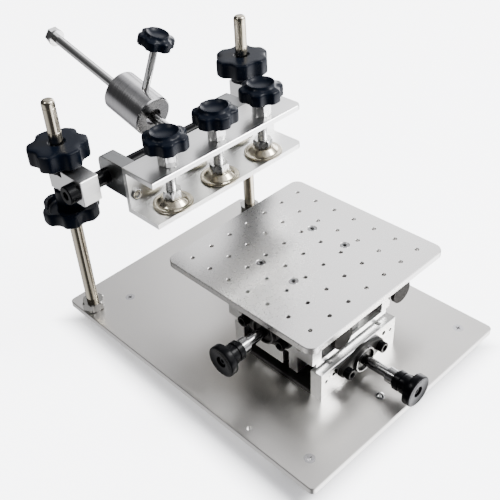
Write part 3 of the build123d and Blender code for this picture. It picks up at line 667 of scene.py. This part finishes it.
@dataclass
class Clamp:
    """Pivot bolt, arms, channel, and the three screws with their pads and knobs."""

    outer_x: float = 101.3
    pads: tuple[float, ...] = (-48.5, -2.0, 44.5)
    pad_y: float = 44.5
    channel_low: float = DECK + 108.5
    channel_top: float = DECK + 146.0
    wall: float = 4.0
    gap: float = 0.3
    arms: tuple[float, ...] = (-67.5, 47.0)
    web_y: float = 62.0
    arm_screw_z: float = DECK + 122.7
    nut_flats: float = 13.0
    upper_nut_height: float = 9.5
    lock_nut_height: float = 6.5
    pad_height: float = 5.5
    stud_radius: float = 4.0
    stud_in_knob: float = 12.0
    thread_depth: float = 0.62

    def build(self) -> None:
        """Dress the plain parts and build the turned ones."""
        nodes = frame["nodes"]
        MILLED_ALUMINIUM.dress(nodes["clamp_channel"])
        ARM_STEEL.dress(nodes["left_arm"], nodes["right_arm"])
        BLACK_METAL.dress(nodes["grip_screws"], nodes["pivot_ring"])
        self.pivot_bolt()
        self.arm_screws()
        self.upper_nuts()
        for number in range(1, len(self.pads) + 1):
            self.pad(number)
            self.stud(number)
            self.lock_nut(number)
            self.knob(number)

    @property
    def pad_low(self) -> float:
        """Return the height of the pads' undersides."""
        return self.channel_low + self.wall + self.gap

    def seat(self, number: int, height: float) -> Triple:
        """Return the point at a height on the axis of a pad, counted from the left."""
        return (self.pads[number - 1], self.pad_y, height)

    def pivot_bolt(self) -> bpy.types.Object:
        """Build the long socket head bolt that the arms turn on.

        Returns:
            The bolt's object.
        """
        reach = 2 * self.outer_x + 2.6
        made = make_object(
            "dressed_pivot_bolt",
            [cap_head(14.5, 8.5, 12.0, reach, (-self.outer_x, *PIVOT), (-1, 0, 0), 6.4)],
        )
        return finish_piece(made, "clamp", BLACK_METAL, "pivot_bolt")

    def arm_screws(self) -> bpy.types.Object:
        """Build the screws that hold the arms to the channel's web.

        Returns:
            The screws as one object.
        """
        y, z = self.web_y, self.arm_screw_z
        parts = [cap_head(8.5, 2.0, 5.0, 16.0, (x, y, z), (0, -1, 0)) for x in self.arms]
        made = make_object("dressed_arm_screws", parts)
        return finish_piece(made, "clamp", STEEL, "arm_screws")

    def upper_nuts(self) -> bpy.types.Object:
        """Build the three tall nuts on top of the channel.

        Returns:
            The nuts as one object.
        """
        profile = nut_profile(self.nut_flats, self.upper_nut_height, self.stud_radius + 0.1, 0.7, 0.7)
        parts = [
            hexagon(profile, self.nut_flats, self.seat(i + 1, self.channel_top), UP, 12.0 + 9.0 * i)
            for i in range(len(self.pads))
        ]
        made = make_object("dressed_clamp_nuts", parts)
        return finish_piece(made, "clamp", STEEL, "clamp_nuts")

    def pad(self, number: int) -> bpy.types.Object:
        """Turn one pad: a rolled rim, a hollow cone and a neck.

        Args:
            number: Number of the pad, from the left.

        Returns:
            The pad's object.
        """
        tall = self.pad_height
        profile = [
            (0, 0), (14.2, 0), (14.8, 0.3), (15.0, 0.9), (14.8, 1.5), (14.2, 1.8), (13.0, 1.75), (12.2, 1.75),
            (11.2, 2.3), (10.0, 3.4), (8.8, 4.6), (8.0, 5.2), (7.5, tall), (3.05, tall), (3.05, 2.0),
            (0, 2.0),
        ]
        made = make_object(f"dressed_pad_{number}", [lathe(profile, self.seat(number, self.pad_low), UP)])
        return finish_piece(made, f"pad_{number}", NICKEL, f"clamp_pad_{number}")

    def stud(self, number: int) -> bpy.types.Object:
        """Build one threaded stud.

        The radius at height h and angle t falls by a triangle wave of h / pitch - t / one turn, which
        is a single start thread, and the depth fades out at both ends.

        Args:
            number: Number of the pad, from the left.

        Returns:
            The stud's object.
        """
        low = self.pad_low + self.pad_height + self.gap
        tall = self.channel_top + self.upper_nut_height + self.gap + self.stud_in_knob - low
        pitch, columns, steps = 1.25, 40, 8
        height = np.arange(0, tall, pitch / steps)
        angle = np.arange(columns) / columns
        wave = (height[:, None] / pitch - angle[None, :]) % 1.0
        fade = np.clip(np.minimum(height, tall - height) / 1.2, 0, 1)[:, None]
        radius = self.stud_radius - self.thread_depth * fade * np.abs(2 * wave - 1)
        ends, neck = np.zeros((1, columns)), np.full((2, columns), 2.9)
        radius = np.concatenate((ends, neck, radius, ends))
        height = np.concatenate(([-3.0, -3.0, 0.0], height, [height[-1]]))
        thread = turned(radius, height, self.seat(number, low), UP)
        made = make_object(f"dressed_stud_{number}", [thread], 60.0)
        return finish_piece(made, f"pad_screw_{number}", STEEL, f"pad_stud_{number}")

    def lock_nut(self, number: int) -> bpy.types.Object:
        """Build one lock nut above its pad.

        Args:
            number: Number of the pad, from the left.

        Returns:
            The nut's object.
        """
        low = self.pad_low + self.pad_height + self.gap
        profile = nut_profile(self.nut_flats, self.lock_nut_height, self.stud_radius, 0.7, 0.8)
        made = make_object(
            f"dressed_lock_nut_{number}",
            [hexagon(profile, self.nut_flats, self.seat(number, low), UP, 8.0 + 14.0 * number)],
        )
        return finish_piece(made, f"pad_screw_{number}", STEEL, f"pad_lock_nut_{number}")

    def knob(self, number: int) -> bpy.types.Object:
        """Build one pad knob: a conical hub, lobes, a rim and a shallow dish.

        Args:
            number: Number of the pad, from the left.

        Returns:
            The knob's object.
        """
        low = self.channel_top + self.upper_nut_height + self.gap
        r, side, top = 16.8, 3.5, 13.5
        stations = [
            (4.1, 0, 0), (5.9, 0, 0), (6.4, 0.5, 0), (7.2, side - 0.6, 0), (8.6, side, 0.1),
            (r * 0.86, side, 0.9), (r - 0.6, side, 1), (r - 0.1, side + 0.5, 1), (r, side + 1.2, 1),
            (r, top - 2.6, 1), (r - 0.25, top - 1.6, 1), (r - 0.9, top - 0.9, 1), (r * 0.88, top - 0.5, 0.95),
            (r * 0.78, top - 0.1, 0.7), (r * 0.70, top + 0.6, 0.3), (r * 0.655, top + 1.6, 0.08),
            (r * 0.63, top + 2.3, 0), (r * 0.605, top + 2.5, 0), (r * 0.58, top + 2.3, 0),
            (r * 0.52, top + 1.3, 0), (r * 0.44, top + 0.3, 0), (r * 0.34, top - 0.5, 0),
            (r * 0.2, top - 1.0, 0), (0, top - 1.2, 0),
        ]
        inner = [(0, self.stud_in_knob, 0), (4.1, self.stud_in_knob, 0)]
        return StarKnob(
            f"dressed_pad_knob_{number}", (f"pad_knob_{number}",), f"pad_screw_{number}",
            self.seat(number, low), UP, inner + stations, phase=10.0 + 17.0 * number,
        ).build()


@dataclass
class Balance:
    """Counterweight, its rod and the knob that locks it."""

    rod_x: float = -3.0
    rise: float = 15.2
    lean: float = 11.5
    weight_start: float = 31.0
    lock_from_pivot: float = 46.0
    knob_height: float = 54.5

    def rod_way(self) -> Triple:
        """Return the rod's direction, away from the pivot."""
        rise = math.radians(self.rise)
        return (0.0, math.cos(rise), math.sin(rise))

    def lock_way(self) -> Triple:
        """Return the lock stud's direction: square to the rod and leaning to +X."""
        rise, lean = math.radians(self.rise), math.radians(self.lean)
        return (math.sin(lean), -math.sin(rise) * math.cos(lean), math.cos(rise) * math.cos(lean))

    def build(self) -> None:
        """Dress the weight and the rods, lay a painted shade sheet on the weight's end face, and build the
        lock knob.
        """
        nodes = frame["nodes"]
        WEIGHT_STEEL.dress(nodes["counterweight"])
        STEEL.dress(nodes["counterweight_rod"], nodes["lock_stud"])
        start, way = np.array((self.rod_x, *PIVOT)), np.array(self.rod_way())
        # A thin near-black sheet on the weight's end face, painted shade.
        face = [(7.2, 0), (7.2, 0.12), (15.6, 0.12), (15.9, 0.08), (15.9, 0)]
        middle = tuple(start + self.weight_start * way)
        end = make_object("weight_end_face", [lathe(face, middle, tuple(-way), True)])
        finish_piece(end, "weight", SHADED_END_FACE)
        root = start + self.lock_from_pivot * way
        origin = tuple(root + self.knob_height * np.array(self.lock_way()))
        r, top = 14.25, 8.0
        stations = [
            (0, 4.3, 0), (3.0, 4.3, 0), (3.0, 0, 0), (5.5, 0, 0), (6.5, 0.6, 0), (7.6, 0.8, 0.1),
            (r * 0.86, 0, 0.9), (r - 0.6, 0, 1), (r - 0.1, 0.5, 1), (r, 1.2, 1), (r, top - 2.4, 1),
            (r - 0.25, top - 1.4, 1), (r - 0.9, top - 0.8, 1), (r * 0.87, top - 0.4, 0.95),
            (r * 0.77, top, 0.7), (r * 0.70, top + 0.6, 0.3), (r * 0.655, top + 1.4, 0.08),
            (r * 0.63, top + 2.0, 0), (r * 0.60, top + 2.1, 0), (r * 0.57, top + 1.8, 0),
            (r * 0.5, top + 0.9, 0), (r * 0.4, top + 0.1, 0), (r * 0.26, top - 0.5, 0), (0, top - 0.7, 0),
        ]
        StarKnob("dressed_lock_knob", ("lock_knob",), "lock", origin, self.lock_way(), stations).build()


@dataclass(frozen=True)
class SlideScrew:
    """Where one slide's screw stands on its end plate, where it points and what it moves with."""

    word: str
    face: Triple
    way: Triple
    along: Triple
    reach: float
    turns: str
    stays: str


@dataclass
class CrossSlide:
    """The two stacked slides with their screws, bearings and hand knobs."""

    spots: tuple[SlideScrew, ...] = (
        SlideScrew("lower", (-1.0, -91.5, DECK + 15.0), (0, -1, 0), (1, 0, 0), 33.0, "lower_screw", "base"),
        SlideScrew(
            "upper", (-44.0, -43.0, DECK + 41.5), (-1, 0, 0), (0, 1, 0), 29.0, "upper_screw", "lower_slide"
        ),
    )
    screw_pitch: float = 37.0
    frame_length: float = 86.0
    end_plate: float = 10.0
    lead: float = 2.0
    flange_ear: float = 5.4
    flange_thickness: float = 3.6
    ring_radius: float = 11.3

    def build(self) -> None:
        """Dress the plates and guides and build the knobs, screws and bearings."""
        nodes = frame["nodes"]
        for name in (
            "lower_front_plate", "lower_back_plate", "upper_floor", "upper_left_plate",
            "upper_right_plate", "lower_carriage",
        ):
            MILLED_ALUMINIUM.dress(nodes[name])
        # The near-black on the upper carriage and the lower floor is painted shade that darkens the slide's
        # hollow.
        CAST_IRON_AND_SHADE.dress(nodes["upper_carriage"], nodes["lower_floor"])
        STEEL.dress(nodes["lower_guides"], nodes["upper_guides"])
        for spot in self.spots:
            self.hand_knob(spot)
            self.lead_screw(spot)
            self.bearing(spot)
            self.bearing_screws(spot)

    def hand_knob(self, spot: SlideScrew) -> bpy.types.Object:
        """Turn one hand knob: a hub with a groove and two set screws, then the disc with its end screw.

        Args:
            spot: The screw that it turns.

        Returns:
            The knob's object.
        """
        side, other, axis = upright(spot.way)
        origin = np.array(spot.face) + spot.reach * axis
        profile = [
            (0, 12.5), (4.1, 12.5), (4.1, 0.6), (4.6, 0), (6.9, 0), (7.5, 0.6), (7.5, 4.2), (7.2, 4.5),
            (6.7, 4.6), (6.7, 6.0), (7.2, 6.1), (7.5, 6.4), (7.5, 11.4), (7.8, 12.0), (11.2, 12.0),
            (11.8, 12.3), (12.0, 12.9), (12.0, 16.9), (11.8, 17.5), (11.1, 18.0), (10.2, 18.0),
            (9.9, 17.8), (4.4, 17.5), (4.1, 17.2), (4.1, 14.6), (0, 14.6),
        ]
        parts = [lathe(profile, tuple(origin), spot.way)]
        for turn in (0.6, 2.7):
            out = math.cos(turn) * side + math.sin(turn) * other
            seat = tuple(origin + 8.9 * axis + 7.3 * out)
            parts.append(cap_head(3.2, 0.5, 2.6, 1.5, seat, tuple(out), 1.7))
        parts.append(cap_head(5.6, 1.6, 3.0, 0.5, tuple(origin + 14.6 * axis), spot.way, 2.8))
        made = make_object(f"dressed_{spot.word}_hand_knob", parts)
        return finish_piece(made, spot.turns, BLACK_METAL, f"{spot.word}_hand_knob")

    def lead_screw(self, spot: SlideScrew) -> bpy.types.Object:
        """Build one lead screw: plain journal and stop collar outside, thread inside the frame.

        The thread's radius falls with the distance of height / lead - turn from the nearest whole
        number, clipped flat at crest and root.

        Args:
            spot: Where the screw stands.

        Returns:
            The screw's object.
        """
        columns, steps, reach = 32, 8, spot.reach
        low, high = -self.frame_length + self.end_plate + 0.4, -self.end_plate - 0.4
        height = np.arange(low, high, self.lead / steps)
        turn = np.arange(columns) / columns
        wave = np.abs(2 * ((height[:, None] / self.lead - turn[None, :]) % 1.0) - 1)
        thread = 4.0 - 0.75 * np.clip(1.6 * wave - 0.3, 0, 1)
        end = -self.frame_length - 4.0
        before = [(0, end), (3.6, end), (4.0, -self.frame_length - 3.6), (4.0, low - 0.2)]
        after = [
            (4.0, high + 0.2), (4.0, reach - 8.4), (4.4, reach - 8.2), (4.4, reach - 7.2), (5.6, reach - 7.0),
            (6.0, reach - 6.6), (6.0, reach - 1.0), (5.6, reach - 0.5), (4.0, reach - 0.5),
            (4.0, reach + 12.0), (0, reach + 12.0),
        ]
        ends = [np.broadcast_to(np.array(rows)[:, :1], (len(rows), columns)) for rows in (before, after)]
        radius = np.concatenate((ends[0], thread, ends[1]))
        heights = np.concatenate((np.array(before)[:, 1], height, np.array(after)[:, 1]))
        screw = turned(radius, heights, spot.face, spot.way)
        made = make_object(f"dressed_{spot.word}_lead_screw", [screw])
        return finish_piece(made, spot.turns, DARK_STEEL, f"{spot.word}_lead_screw")

    def bearing(self, spot: SlideScrew) -> bpy.types.Object:
        """Build one flange bearing: a rhombic cast flange, the round housing and its ring.

        The flange's outline is the hull of the housing's circle and the two ears: at each angle the
        farthest of the three circles and the straight flanks that touch them.

        Args:
            spot: The screw that it holds.

        Returns:
            The bearing's object.
        """
        angle = np.arange(SEGMENTS) * 2 * math.pi / SEGMENTS
        half, ear, hub = self.screw_pitch / 2, self.flange_ear, self.ring_radius
        lean = math.asin((hub - ear) / half)
        folded = np.arctan2(np.abs(np.sin(angle)), np.abs(np.cos(angle)))
        flank = hub / np.maximum(np.cos(folded - (math.pi / 2 - lean)), 1e-6)
        reach_ear = half * np.cos(folded) + np.sqrt(np.maximum(ear**2 - (half * np.sin(folded)) ** 2, 0.0))
        corner = math.atan2(ear * math.cos(lean), half + ear * math.sin(lean))
        edge = np.where(folded < corner, reach_ear, np.where(folded < math.pi / 2 - lean, flank, hub))
        side, other, _ = upright(spot.way)
        phase = math.degrees(math.atan2(np.dot(spot.along, other), np.dot(spot.along, side)))
        bore, thick = 4.06, self.flange_thickness
        rows = [
            (bore, 0.05), (None, 0.05), (None, thick - 0.8), (-0.3, thick - 0.2), (-1.0, thick),
            (hub - 0.5, thick + 0.3), (hub - 0.7, thick + 1.4), (hub - 1.1, thick + 1.9),
            (hub - 2.4, thick + 2.0), (hub - 2.7, thick + 0.4), (bore + 1.4, thick + 0.4),
            (bore + 1.1, thick + 1.0), (bore, thick + 1.0),
        ]
        radius = np.array([
            edge if r is None else np.maximum(edge + r, hub - 0.4) if r < 0 else np.full(SEGMENTS, r)
            for r, _ in rows
        ])
        height = np.array([h for _, h in rows])
        flange = turned(radius, height, spot.face, spot.way, True, phase)
        made = make_object(f"dressed_{spot.word}_bearing", [flange])
        foot, crown = thick + 1.7, thick + 2.3
        lip = [(hub - 2.0, foot), (hub - 1.3, foot), (hub - 1.4, crown), (hub - 1.9, crown)]
        rim = make_object(f"dressed_{spot.word}_bearing_ring", [lathe(lip, spot.face, spot.way, True)])
        finish_piece(rim, spot.stays, DARK_STEEL)
        return finish_piece(made, spot.stays, CAST_IRON_AND_SHADE, f"{spot.word}_bearing")

    def bearing_screws(self, spot: SlideScrew) -> bpy.types.Object:
        """Build the two cap screws of one bearing.

        Args:
            spot: The screw whose bearing they hold.

        Returns:
            The screws' object.
        """
        parts = []
        for side in (-1, 1):
            seat = np.array(spot.face) + side * self.screw_pitch / 2 * np.array(spot.along, float)
            seat = seat + self.flange_thickness * np.array(spot.way, float)
            parts.append(cap_head(8.5, 5.0, 5.0, 10.0, tuple(seat), spot.way))
        made = make_object(f"dressed_{spot.word}_bearing_screws", parts)
        return finish_piece(made, spot.stays, BLACK_METAL, f"{spot.word}_bearing_screws")


@dataclass
class Table:
    """The pierced work table on its bracket."""

    centre: tuple[float, float] = (22.0, -17.0)
    top: float = DECK + 56.8
    low: float = DECK + 47.5
    screw_half: tuple[float, float] = (29.0, 16.5)

    def build(self) -> None:
        """Dress the table, its bracket and the discs under it, and build the screws."""
        nodes = frame["nodes"]
        TABLE_ALUMINIUM.dress(nodes["work_table"])
        MILLED_ALUMINIUM.dress(nodes["table_bracket"])
        WORN_BLACK.dress(nodes["stop_discs"])
        self.screws()

    def screws(self) -> bpy.types.Object:
        """Build the four countersunk hexagon socket screws in the table's top.

        Returns:
            The screws as one object.
        """
        drop, head, shank, key = 0.25, 3.55, 2.0, 1.25
        tall = self.top - drop - self.low
        profile = [
            (0, 0), (shank, 0), (shank, tall - 2.1), (head, tall - 0.5), (head, tall - 0.2),
            (head - 0.25, tall), (key * 1.45, tall),
        ]
        radius, height = socketed(profile, 2 * key, [tall - 0.2, tall - 1.5, tall - 1.5])
        (x, y), (half_x, half_y) = self.centre, self.screw_half
        parts = [
            turned(radius, height, (x + a * half_x, y + b * half_y, self.low), UP)
            for a in (-1, 1)
            for b in (-1, 1)
        ]
        made = make_object("dressed_table_screws", parts)
        return finish_piece(made, "upper_slide", DARK_STEEL, "table_screws")


def math_step(
    tree: bpy.types.NodeTree,
    operation: str,
    first: bpy.types.NodeSocket | float,
    second: bpy.types.NodeSocket | float,
) -> bpy.types.NodeSocket:
    """Add one step of arithmetic to a node tree.

    Args:
        tree: The tree that gets the step.
        operation: Blender's name of the operation.
        first: A socket or a plain number.
        second: A socket or a plain number.

    Returns:
        The socket of the result.
    """
    step = tree.nodes.new("ShaderNodeMath")
    step.operation = operation
    for socket, value in zip(step.inputs, (first, second)):
        if isinstance(value, bpy.types.NodeSocket):
            tree.links.new(value, socket)
        else:
            socket.default_value = value
    return step.outputs["Value"]


@dataclass
class Studio:
    """Floor, light and camera."""

    bearing: float = -37.51
    height: float = 38.5
    roll: float = -6.76
    focal: float = 763.76
    eye: Triple = (-324.13, -328.2, 418.82 + DECK)
    centre: tuple[float, float] = (192.69, 268.71)
    picture: float = 500.0
    sensor: float = 36.0
    floor_level: float = -8.0
    floor_half: float = 30000.0
    shadow_centre: tuple[float, float] = (-9.0, -4.0)
    shadow_half: tuple[float, float] = (108.0, 136.0)
    shadow_lean: float = 0.03
    shadow_blur: float = 14.0
    shadow_light: float = 0.02
    low_light: float = 0.08
    sky_blue: float = 1.03
    lobes: tuple[tuple[Triple, float, float], ...] = (
        ((0.62, 0.44, 0.62), 42.0, 1.25),
        ((0.64, 0.50, 0.58), 18.0, 2.2),
        ((0.48, -0.62, -0.62), 50.0, 6.5),
        ((0.55, 0.6, -0.55), 40.0, 1.2),
        ((-0.6, 0.35, -0.55), 50.0, 1.05),
        ((0.476, -0.62, 0.62), 44.0, 3.8),
        ((0.96, 0.25, 0.0), 30.0, 9.0),
        ((-0.2, -0.1, 1.0), 40.0, 0.55),
    )

    def build(self) -> None:
        """Make the camera, the floor, the lamps and the sky."""
        self.camera()
        self.floor()
        self.sky()
        self.lamp("key", (900, -700, 1300), (0, 0, 60), size=600, power=30.0)
        self.lamp("streak", (-760, 360, 1420), (0, 60, 120), size=260, power=6.0)

    def camera(self) -> None:
        """Set the camera from the fitted bearing, height, roll, focal length and picture centre."""
        a, e, r = (math.radians(v) for v in (self.bearing, self.height, self.roll))
        back = np.array((math.sin(a) * math.cos(e), -math.cos(a) * math.cos(e), math.sin(e)))
        right = np.cross(-back, UP)
        right /= np.linalg.norm(right)
        up = np.cross(right, -back)
        side, rise = math.cos(r) * right + math.sin(r) * up, -math.sin(r) * right + math.cos(r) * up
        data = bpy.data.cameras.new("camera")
        data.sensor_width = self.sensor
        data.lens = self.focal * self.sensor / self.picture
        data.shift_x = (self.picture / 2 - self.centre[0]) / self.picture
        data.shift_y = (self.centre[1] - self.picture / 2) / self.picture
        data.clip_start, data.clip_end = 0.01, 50.0
        made = bpy.data.objects.new("camera", data)
        bpy.context.scene.collection.objects.link(made)
        place = np.eye(4)
        place[:3, 0], place[:3, 1], place[:3, 2] = side, rise, back
        place[:3, 3] = np.array(self.eye) * MM
        made.matrix_world = Matrix(place.tolist())
        bpy.context.scene.camera = made

    def floor(self) -> None:
        """Lay a wide pale floor at the level of the feet."""
        half, z = self.floor_half, self.floor_level
        points = np.array(((-half, -half, z), (half, -half, z), (half, half, z), (-half, half, z)))
        made = make_object("floor", [(points, np.array([[0, 1, 2, 3]]))])
        if made.data.polygons[0].normal.z < 0:
            made.data.flip_normals()
        FLOOR_WHITE.dress(made)
        self.soft_shadow(FLOOR_WHITE.material())
        made.visible_diffuse = made.visible_glossy = made.visible_shadow = False

    def soft_shadow(self, material: bpy.types.Material) -> None:
        """Dim the floor's glow beside the base plate, where the plate keeps the light off.

        The glow is scaled by a smooth step of the greater of |x - lean y - cx| - hx and |y - cy| - hy,
        the distance past the edges of a leaning rectangle.

        Args:
            material: The floor's material.
        """
        tree = material.node_tree
        nodes, links = tree.nodes, tree.links
        place, split = nodes.new("ShaderNodeTexCoord"), nodes.new("ShaderNodeSeparateXYZ")
        links.new(place.outputs["Object"], split.inputs["Vector"])
        x, y = split.outputs["X"], split.outputs["Y"]
        x = math_step(tree, "SUBTRACT", x, math_step(tree, "MULTIPLY", y, self.shadow_lean))
        past = []
        for value, centre, half in zip((x, y), self.shadow_centre, self.shadow_half):
            off = math_step(tree, "ABSOLUTE", math_step(tree, "SUBTRACT", value, centre * MM), 0.0)
            past.append(math_step(tree, "SUBTRACT", off, half * MM))
        fade = nodes.new("ShaderNodeMapRange")
        fade.interpolation_type = "SMOOTHSTEP"
        fade.inputs["From Min"].default_value = -self.shadow_blur * MM
        fade.inputs["From Max"].default_value = self.shadow_blur * MM
        fade.inputs["To Min"].default_value = self.shadow_light * FLOOR_WHITE.glow
        fade.inputs["To Max"].default_value = FLOOR_WHITE.glow
        links.new(math_step(tree, "MAXIMUM", *past), fade.inputs["Value"])
        links.new(fade.outputs["Result"], nodes["Principled BSDF"].inputs["Emission Strength"])

    def lamp(self, name: str, place: Triple, aim: Triple, size: float, power: float) -> None:
        """Hang a square soft lamp.

        Args:
            name: Name of the lamp.
            place: Where it hangs, in millimetres.
            aim: The point that it faces.
            size: Edge length.
            power: Its power in watts.
        """
        data = bpy.data.lights.new(name, "AREA")
        data.shape = "SQUARE"
        data.size = size * MM
        data.energy = power
        made = bpy.data.objects.new(name, data)
        bpy.context.scene.collection.objects.link(made)
        back = np.array(place, float) - np.array(aim, float)
        side, other, axis = upright(tuple(back))
        turn = np.eye(4)
        turn[:3, 0], turn[:3, 1], turn[:3, 2] = side, other, axis
        turn[:3, 3] = np.array(place) * MM
        made.matrix_world = Matrix(turn.tolist())

    def sky(self) -> None:
        """Make the soft surroundings that the metal mirrors.

        The brightness towards a direction is low_light plus, for each lobe, its strength times a
        smooth step that rises from 0 at the lobe's edge to 1 at its middle.
        """
        world = bpy.data.worlds.new("studio")
        world.use_nodes = True
        nodes, links = world.node_tree.nodes, world.node_tree.links
        place = nodes.new("ShaderNodeTexCoord")
        total = None
        for way, width, strength in self.lobes:
            middle = np.array(way) / np.linalg.norm(way)
            toward = nodes.new("ShaderNodeVectorMath")
            toward.operation = "DOT_PRODUCT"
            toward.inputs[1].default_value = tuple(middle)
            links.new(place.outputs["Generated"], toward.inputs[0])
            share = nodes.new("ShaderNodeMapRange")
            share.interpolation_type = "SMOOTHSTEP"
            share.inputs["From Min"].default_value = math.cos(math.radians(width))
            share.inputs["From Max"].default_value = 1.0
            share.inputs["To Min"].default_value = 0.0 if total else self.low_light
            share.inputs["To Max"].default_value = strength
            links.new(toward.outputs["Value"], share.inputs["Value"])
            lobe = share.outputs["Result"]
            total = math_step(world.node_tree, "ADD", total, lobe) if total else lobe
        nodes["Background"].inputs["Color"].default_value = (1.0, 1.0, self.sky_blue, 1.0)
        links.new(total, nodes["Background"].inputs["Strength"])
        bpy.context.scene.world = world


def main() -> None:
    """Build every class in order and report it."""
    logging.basicConfig(level=logging.INFO, format="%(name)s: %(message)s")
    for group in (Base(), Lift(), Clamp(), Balance(), CrossSlide(), Table(), Studio()):
        log.info("building %s", type(group).__name__)
        group.build()


if __name__ == "__main__":
    main()
